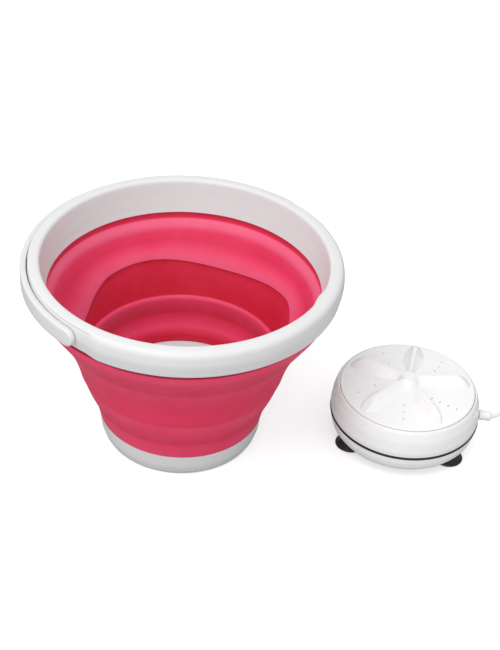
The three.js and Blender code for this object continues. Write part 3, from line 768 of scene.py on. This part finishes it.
def build_rim():
    outline = fillet([
        (155.2, 189.8, 0.7),
        (158.9, 192.8, 3.0),
        (161.4, 206.0, 24.0),
        (159.8, 220.6, 8.0),
        (145.6, 221.2, 4.4),
        (143.9, 204.0, 20.0),
        (141.6, 190.0, 10.0),
        (140.0, 183.0, 0.6),
        (142.8, 183.0, 0.6),
        (144.4, 190.0, 8.0),
        (146.8, 205.0, 10.0),
        (148.8, 215.0, 2.0),
        (152.4, 217.2, 2.0),
        (156.2, 215.6, 2.0),
        (157.8, 210.0, 4.0),
        (158.0, 199.0, 6.0),
        (156.6, 194.8, 2.0),
        (154.4, 192.4, 0.4),
    ], steps=7)
    rim = lathe("rim_moulding", dense(outline, 1.2), steps=360, shift=rim_shift)
    dress(rim, TUB_WHITE, "tub_white", "tub_rim", "rim_ring")


def dense(outline, spacing):
    """A closed outline with no side longer than the spacing."""
    line = []
    for i, (r0, z0) in enumerate(outline):
        r1, z1 = outline[(i + 1) % len(outline)]
        pieces = max(1, math.ceil(math.hypot(r1 - r0, z1 - z0) / spacing))
        for k in range(pieces):
            line.append((r0 + (r1 - r0) * k / pieces, z0 + (z1 - z0) * k / pieces))
    return line


def stadium(half_length, half_height, straight, turns):
    """Points (s, z) round a strip with half-round ends."""
    flat = max(half_length - half_height, 0.0)
    loop = []
    for k in range(straight):
        loop.append((-flat + 2 * flat * k / straight, -half_height))
    for k in range(turns):
        angle = -math.pi / 2 + math.pi * k / turns
        loop.append((flat + half_height * math.cos(angle), half_height * math.sin(angle)))
    for k in range(straight):
        loop.append((flat - 2 * flat * k / straight, half_height))
    for k in range(turns):
        angle = math.pi / 2 + math.pi * k / turns
        loop.append((-flat + half_height * math.cos(angle), half_height * math.sin(angle)))
    return loop


def build_bail():
    """Flat curved strap with half-round ends and soft edges, bent round the rim."""
    straight, turns = 150, 18
    middle = (BAIL_INNER + BAIL_OUTER) / 2
    half_length = math.pi / 2 * middle + BAIL_HALF_HEIGHT
    edge = 2.3
    sections = [(BAIL_HALF_HEIGHT, BAIL_INNER), (5.0, BAIL_INNER), (1.0, BAIL_INNER)]
    sections += [(0.3, BAIL_INNER + 0.3), (0.0, BAIL_INNER + 1.0), (0.0, BAIL_OUTER - edge)]
    for k in range(1, 6):
        angle = math.pi / 2 * k / 6
        sections.append((edge * (1 - math.cos(angle)), BAIL_OUTER - edge * (1 - math.sin(angle))))
    sections += [(edge, BAIL_OUTER), (5.0, BAIL_OUTER + 0.15)]
    sections += [(BAIL_HALF_HEIGHT, BAIL_OUTER + 0.2)]
    points = []
    for inset, radius in sections:
        loop = stadium(half_length - inset, BAIL_HALF_HEIGHT - inset, straight, turns)
        for s, z in loop:
            angle = math.radians(PIVOT_AZIMUTH_DEG - 90.0) + s / middle
            points.append((radius * math.cos(angle), radius * math.sin(angle), PIVOT_HEIGHT + z))
    count = 2 * (straight + turns)
    faces = []
    for k in range(len(sections) - 1):
        for i in range(count):
            j = (i + 1) % count
            faces.append([k * count + i, k * count + j, (k + 1) * count + j, (k + 1) * count + i])
    bail = make_object("bail_moulding", points, faces)
    for side in (0.0, 180.0):
        subtract(bail, radial_rod(PIN_HOLE, 150.0, 162.6, PIVOT_AZIMUTH_DEG + side, PIVOT_HEIGHT))
    dress(bail, TUB_WHITE, "tub_white", "bail", "bail_handle")


def radial_rod(radius, start, end, azimuth_deg, height, place=TUB, steps=32):
    """Plain round bar along a horizontal direction, used as a cutter."""
    angle = math.radians(azimuth_deg)
    out = Vector((math.cos(angle), math.sin(angle), 0))
    side = Vector((-math.sin(angle), math.cos(angle), 0))
    points = []
    for distance in (start, end):
        for k in range(steps):
            turn = 2 * math.pi * k / steps
            point = out * distance + side * radius * math.cos(turn)
            points.append((point.x, point.y, height + radius * math.sin(turn)))
    faces = [[k, (k + 1) % steps, steps + (k + 1) % steps, steps + k] for k in range(steps)]
    faces += [list(range(steps))[::-1], [steps + k for k in range(steps)]]
    return make_object("cutter", points, faces, place)


# ======================================================================
# Turbine unit
# ======================================================================


def build_shells():
    u = UNIT_RADIUS
    lower = fillet([
        (0.0, 9.0),
        (u - 14.0, 9.0, 5.0),
        (u - 7.5, 11.0, 5.0),
        (u - 3.4, 16.5, 6.0),
        (u - 1.4, 23.5, 6.0),
        (u - 0.8, 30.3, 0.4),
        (u - 3.6, 30.3, 0.3),
        (u - 4.2, 24.0, 3.0),
        (u - 6.2, 18.0, 3.0),
        (u - 9.4, 13.8, 2.0),
        (u - 12.6, 12.0, 2.0),
        (0.0, 12.0),
    ])
    shell = lathe("lower_shell", lower, UNIT, UNIT_STEPS)
    dress(shell, UNIT_WHITE, "unit_white", "turbine_unit", "unit_shell_lower")
    gasket = fillet([
        (u - 3.4, 30.4, 0.2),
        (u - 0.2, 30.4, 0.4),
        (u + 0.3, 31.8, 1.0),
        (u - 0.2, 33.2, 0.4),
        (u - 3.4, 33.2, 0.2),
    ])
    ring = lathe("gasket_ring", gasket, UNIT, UNIT_STEPS)
    dress(ring, BLACK_RUBBER, "black_rubber", "turbine_unit", "unit_gasket")
    upper = fillet([
        (u - 0.6, 33.3, 0.4),
        (u, 38.6, 12.0),
        (u - 1.4, 51.4, 20.0),
        (u - 4.4, 61.4, 8.0),
        (u - 6.2, 64.5, 0.9),
        (u - 7.1, 64.1, 0.3),
        (u - 7.3, 59.8, 0.6),
        (6.2, 59.8, 0.3),
        (6.2, 56.8, 0.3),
        (u - 8.0, 56.8, 2.0),
        (u - 4.8, 52.0, 6.0),
        (u - 2.8, 38.0, 6.0),
        (u - 3.2, 33.3, 0.3),
    ], steps=8)
    shell = lathe("upper_shell", upper, UNIT, UNIT_STEPS)
    hole = radial_rod(4.6, u - 10.0, u + 6.0, RELIEF_AZIMUTH_DEG, RELIEF_HEIGHT, UNIT)
    subtract(shell, hole)
    dress(shell, UNIT_WHITE, "unit_white", "turbine_unit", "unit_shell_upper")


def build_cups():
    outline = fillet([
        (0.0, 15.4),
        (5.2, 15.4, 0.8),
        (5.2, 12.4, 0.5),
        (3.6, 12.4, 0.3),
        (3.6, 8.7, 0.6),
        (7.2, 8.5, 1.2),
        (9.8, 6.2, 2.0),
        (15.2, 2.1, 2.0),
        (16.5, 0.3, 0.3),
        (15.6, 0.1, 0.3),
        (14.2, 0.9, 0.8),
        (9.6, 2.8, 2.0),
        (0.0, 3.4),
    ])
    for k in (1, 2, 3):
        node = f"suction_cup_{k}"
        cup = lathe(f"cup_{k}", outline, centre_of(node), 72)
        dress(cup, BLACK_RUBBER, "black_rubber", "turbine_unit", node)


def fin_share(radius, angle):
    """0 on the floor to 1 on a fin's crest: scooped sides and a rounded, sloping outer end."""
    pitch = 2 * math.pi / FIN_COUNT
    turn = angle - math.radians(FIN_PHASE_DEG)
    off = turn - round(turn / pitch) * pitch
    sideways = abs(radius * math.sin(off))
    along = radius * math.cos(off)
    crest = 1.0 + 0.8 * smoothstep(12.0, 50.0, along)
    if along < FIN_WIDEST:
        foot = 3.5 + (FIN_HALF_WIDTH - 3.5) * smoothstep(6.0, FIN_WIDEST, along)
    else:
        beyond = (along - FIN_WIDEST) / (FIN_TIP - FIN_WIDEST)
        foot = FIN_HALF_WIDTH * math.sqrt(max(1.0 - beyond ** 2.4, 0.0))
    foot = max(foot, crest + 0.4)
    side = max(0.0, min(1.0, 1.0 - (sideways - crest) / (foot - crest)))
    side = 0.3 * side * side + 0.7 * side
    end = max(0.0, min(1.0, (FIN_TIP - along) / (FIN_TIP - FIN_LEVEL_END)))
    end = 1.0 - (1.0 - end) ** 1.4
    return min(side, end)


def impeller_height(radius, angle):
    dome = IMPELLER_EDGE + IMPELLER_RISE * (1.0 - (radius / IMPELLER_RADIUS) ** 2)
    crown = FIN_TOP - 0.8 * smoothstep(20.0, 58.0, radius)
    hub = 1.0 - smoothstep(7.0, 12.0, radius)
    return dome + (crown - dome) * max(fin_share(radius, angle), hub)


def slot_places():
    """Drain slots as (radius, azimuth), row by row in the pockets between the fins."""
    places = []
    for start, end, inner, outer, count in SLOT_ROWS:
        for k in range(count):
            t = k / max(count - 1, 1)
            places.append((inner + (outer - inner) * t, start + (end - start) * t))
    return places


def build_impeller():
    rings, sectors = 130, 420
    points = [(0.0, 0.0, impeller_height(0.0, 0.0))]
    for i in range(1, rings + 1):
        radius = IMPELLER_RADIUS * i / rings
        for s in range(sectors):
            angle = 2 * math.pi * s / sectors
            height = impeller_height(radius, angle)
            if i == rings:
                height -= 0.5
            points.append((radius * math.cos(angle), radius * math.sin(angle), height))
    underside = len(points)
    low_radius = IMPELLER_RADIUS - 0.6
    for s in range(sectors):
        angle = 2 * math.pi * s / sectors
        points.append((low_radius * math.cos(angle), low_radius * math.sin(angle), IMPELLER_UNDERSIDE))
    points.append((0.0, 0.0, IMPELLER_UNDERSIDE))
    faces = []
    for s in range(sectors):
        n = (s + 1) % sectors
        faces.append([0, 1 + s, 1 + n])
        for i in range(rings - 1):
            a = 1 + i * sectors
            faces.append([a + s, a + sectors + s, a + sectors + n, a + n])
        edge = 1 + (rings - 1) * sectors
        faces.append([edge + s, underside + s, underside + n, edge + n])
        faces.append([underside + s, len(points) - 1, underside + n])
    disc = make_object("impeller_wheel", points, faces, UNIT, 40.0)
    subtract(disc, slot_cutters())
    disc.data.shade_smooth()
    disc.data.set_sharp_from_angle(angle=math.radians(34.0))
    dress(disc, UNIT_WHITE, "unit_white", "impeller", "impeller_disc")
    cap = fillet([
        (0.0, 79.5),
        (7.2, 79.5, 0.2),
        (6.8, 80.1, 0.4),
        (5.2, 80.7, 1.2),
        (0.0, 80.9),
    ])
    hub = lathe("hub_cap", cap, UNIT, 72)
    dress(hub, UNIT_WHITE, "unit_white", "impeller", "impeller_hub_cap")


def slot_cutters():
    """Short round-ended bars, each across its pocket, in one object."""
    points = []
    faces = []
    for radius, azimuth in slot_places():
        angle = math.radians(azimuth)
        floor = impeller_height(radius, angle)
        cx, cy = radius * math.cos(angle), radius * math.sin(angle)
        tangent = Vector((-math.sin(angle), math.cos(angle)))
        out = Vector((math.cos(angle), math.sin(angle)))
        loop = stadium(1.7, 0.62, 2, 7)
        start = len(points)
        for height in (floor - 3.2, floor + 3.0):
            for s, w in loop:
                spot = Vector((cx, cy)) + tangent * s + out * w
                points.append((spot.x, spot.y, height))
        count = len(loop)
        for k in range(count):
            j = (k + 1) % count
            faces.append([start + k, start + j, start + count + j, start + count + k])
        faces.append([start + k for k in range(count)][::-1])
        faces.append([start + count + k for k in range(count)])
    return make_object("slot_cutters", points, faces, UNIT)


def lie_along(piece, azimuth_deg, height, place):
    """Turns a lathe piece made about +Z at the origin so that its axis points outwards."""
    turn = Matrix.Rotation(math.radians(azimuth_deg), 4, "Z")
    turn = turn @ Matrix.Rotation(math.pi / 2, 4, "Y")
    shift = Matrix.Translation((place[0] * MM, place[1] * MM, height * MM))
    piece.data.transform(shift @ turn)
    return piece


def build_cable():
    u = UNIT_RADIUS
    relief = fillet([
        (2.5, u - 6.4),
        (5.5, u - 6.4, 0.4),
        (5.5, u - 4.4, 0.2),
        (4.3, u - 4.2, 0.2),
        (4.3, u + 0.3, 0.2),
        (6.1, u + 0.5, 0.5),
        (5.9, u + 2.2, 1.0),
        (5.3, u + 3.4, 1.0),
        (5.2, u + 11.8, 1.2),
        (4.0, u + 13.2, 0.8),
        (2.5, u + 13.2),
    ])
    grommet = lathe("relief_grommet", relief, (0.0, 0.0), 64)
    lie_along(grommet, RELIEF_AZIMUTH_DEG, RELIEF_HEIGHT, UNIT)
    dress(grommet, CABLE_WHITE, "cable_white", "turbine_unit", "cable_grommet")

    ux, uy = UNIT[0] - TUB[0], UNIT[1] - TUB[1]
    angle = math.radians(RELIEF_AZIMUTH_DEG)
    out = (math.cos(angle), math.sin(angle))
    feed = [
        (ux + (u - 1.6) * out[0], uy + (u - 1.6) * out[1], RELIEF_HEIGHT),
        (ux + (u + 14.0) * out[0], uy + (u + 14.0) * out[1], RELIEF_HEIGHT),
        (360, -8, 41), (380, 3, 33), (397, 20, 16), (408, 44, 4), (424, 70, 2.5),
        (452, 74, 2.5), (470, 48, 2.6), (471, 16, 4), (468, -4, 7), (468, -16.2, 7),
    ]
    tail = [
        (468, -71.8, 7), (467, -84, 6), (458, -104, 2.6), (438, -117, 2.5), (414, -118, 2.6),
        (397, -106, 3.6), (392, -92, 6), (392, -82.4, 6),
    ]
    first = sweep("feed_cable", spline(feed), CABLE_RADIUS)
    dress(first, CABLE_WHITE, "cable_white", "turbine_unit", "cable_unit_side")
    second = sweep("tail_cable", spline(tail), CABLE_RADIUS)
    dress(second, CABLE_WHITE, "cable_white", "turbine_unit", "cable_plug_side")


def rounded_box(name, size, corner, edge, low, place):
    """Block with rounded plan corners and softened top and bottom edges."""
    width, length, height = size
    half_w, half_l = width / 2, length / 2
    steps = 8
    loops = []
    levels = [(edge, 0.0), (edge * 0.3, edge * 0.3), (0.0, edge), (0.0, height - edge)]
    levels += [(edge * 0.12, height - edge * 0.5), (edge * 0.45, height - edge * 0.12)]
    levels += [(edge, height)]
    for inset, level in levels:
        radius = max(corner - inset, 0.2)
        loop = []
        for k, (sx, sy) in enumerate([(1, -1), (1, 1), (-1, 1), (-1, -1)]):
            cx = sx * (half_w - inset - radius)
            cy = sy * (half_l - inset - radius)
            for step in range(steps + 1):
                angle = math.pi / 2 * (k - 1 + step / steps)
                loop.append((cx + radius * math.cos(angle), cy + radius * math.sin(angle)))
        loops.append([(x, y, low + level) for x, y in loop])
    points = [p for loop in loops for p in loop]
    count = len(loops[0])
    faces = []
    for k in range(len(loops) - 1):
        for i in range(count):
            j = (i + 1) % count
            faces.append([k * count + i, k * count + j, (k + 1) * count + j, (k + 1) * count + i])
    faces.append(list(range(count))[::-1])
    faces.append([(len(loops) - 1) * count + i for i in range(count)])
    return make_object(name, points, faces, place)


def build_switch():
    lower = rounded_box("switch_tray", (22, 52, 6.85), 7, 1.4, 0.0, SWITCH)
    dress(lower, UNIT_WHITE, "unit_white", "turbine_unit", "switch_case_lower")
    upper = rounded_box("switch_lid", (22, 52, 6.85), 7, 2.0, 7.15, SWITCH)
    well = lathe("cutter", [(0.0, 9.0), (6.4, 9.0), (6.4, 20.0), (0.0, 20.0)], SWITCH, 64)
    subtract(upper, well)
    dress(upper, UNIT_WHITE, "unit_white", "turbine_unit", "switch_case_upper")
    outline = fillet([
        (0.0, 11.2),
        (6.0, 11.2, 0.3),
        (6.0, 15.6, 0.9),
        (4.6, 16.2, 0.6),
        (3.2, 15.7, 1.0),
        (0.0, 15.4),
    ])
    button = lathe("button_cap", outline, SWITCH, 64)
    dress(button, BUTTON_GREY, "button_grey", "button", "switch_button")


def build_plug():
    grip = rounded_box("plug_body", (16, 30, 9), 3, 1.6, 1.5, PLUG)
    dress(grip, UNIT_WHITE, "unit_white", "turbine_unit", "plug_grip")


# ======================================================================
# Carried-over CAD nodes
# ======================================================================

KEPT = {
    STEEL: [
        "bail_pin_front", "bail_pin_back", "shell_screw_1", "shell_screw_2", "shell_screw_3",
        "drive_shaft", "motor_can", "motor_shaft", "gear_plate", "plug_shell",
    ],
    BRASS: ["shaft_bush", "motor_pinion"],
    GEAR: ["drive_gear"],
    BOARD: ["control_board"],
    BLACK_RUBBER: ["shaft_seal", "plug_tongue"],
}


def dress_kept_nodes():
    """Procedural finish and softened edges on the CAD nodes that stay visible."""
    for material, names in KEPT.items():
        for name in names:
            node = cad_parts[name]
            node.data.materials.clear()
            node.data.materials.append(material)
            soft = node.modifiers.new("edge", "BEVEL")
            soft.width = 0.12 * MM
            soft.segments = 2
            soft.limit_method = "ANGLE"
            soft.angle_limit = math.radians(35.0)


# ======================================================================
# Studio
# ======================================================================


def build_floor():
    mesh = bpy.data.meshes.new("studio_floor")
    half = 6.0
    low = -0.0004
    mesh.from_pydata(
        [(-half, -half, low), (half, -half, low), (half, half, low), (-half, half, low)],
        [],
        [[0, 1, 2, 3]],
    )
    floor = bpy.data.objects.new("studio_floor", mesh)
    floor.data.materials.append(floor_finish())
    bpy.context.scene.collection.objects.link(floor)


def area_light(name, place, target, size, power):
    light = bpy.data.lights.new(name, "AREA")
    light.shape = "DISK"
    light.size = size
    light.energy = power
    lamp = bpy.data.objects.new(name, light)
    lamp.location = place
    aim = Vector(target) - Vector(place)
    lamp.rotation_mode = "QUATERNION"
    lamp.rotation_quaternion = aim.to_track_quat("-Z", "Y")
    bpy.context.scene.collection.objects.link(lamp)


def build_lights():
    world = bpy.data.worlds.new("studio_world")
    world.use_nodes = True
    nodes = world.node_tree.nodes
    background = nodes["Background"]
    background.inputs["Color"].default_value = (1.0, 1.0, 1.0, 1.0)
    # The backdrop is as pale as the floor in front of the camera, and softer as a light.
    level = nodes.new("ShaderNodeMath")
    level.operation = "MULTIPLY_ADD"
    level.inputs[1].default_value = BACKDROP_EXTRA
    level.inputs[2].default_value = SKY_LIGHT
    to_camera = nodes.new("ShaderNodeLightPath").outputs["Is Camera Ray"]
    world.node_tree.links.new(to_camera, level.inputs[0])
    world.node_tree.links.new(level.outputs[0], background.inputs["Strength"])
    bpy.context.scene.world = world
    area_light("key_softbox", (-0.8, -0.7, 2.1), (0.0, 0.0, 0.1), 1.6, 18.0)
    area_light("fill_softbox", (-0.5, -2.1, 0.9), (0.0, 0.0, 0.1), 1.4, 9.5)


def build_camera():
    yaw, pitch, roll = (
        math.radians(a) for a in (CAMERA_YAW_DEG, CAMERA_PITCH_DEG, CAMERA_ROLL_DEG)
    )
    ahead = Vector((
        math.sin(yaw) * math.cos(pitch), math.cos(yaw) * math.cos(pitch), -math.sin(pitch)
    ))
    level = Vector((math.cos(yaw), -math.sin(yaw), 0.0))
    up = level.cross(ahead)
    right = level * math.cos(roll) + up * math.sin(roll)
    top = up * math.cos(roll) - level * math.sin(roll)
    data = bpy.data.cameras.new("photo_camera")
    data.lens = CAMERA_LENS_MM
    data.sensor_width = SENSOR_MM
    data.sensor_fit = "AUTO"
    data.clip_start = 0.05
    data.clip_end = 40.0
    camera = bpy.data.objects.new("photo_camera", data)
    turn = Matrix((right, top, -ahead)).transposed().to_4x4()
    place = Vector(CAMERA_PLACE) + Vector((TUB[0], TUB[1], 0.0))
    camera.matrix_world = Matrix.Translation(place * MM) @ turn
    bpy.context.scene.collection.objects.link(camera)
    bpy.context.scene.camera = camera


build_base()
build_wall()
build_rim()
build_bail()
build_shells()
build_cups()
build_impeller()
build_cable()
build_switch()
build_plug()
dress_kept_nodes()
build_floor()
build_lights()
build_camera()
bpy.context.scene.view_settings.view_transform = "Standard"
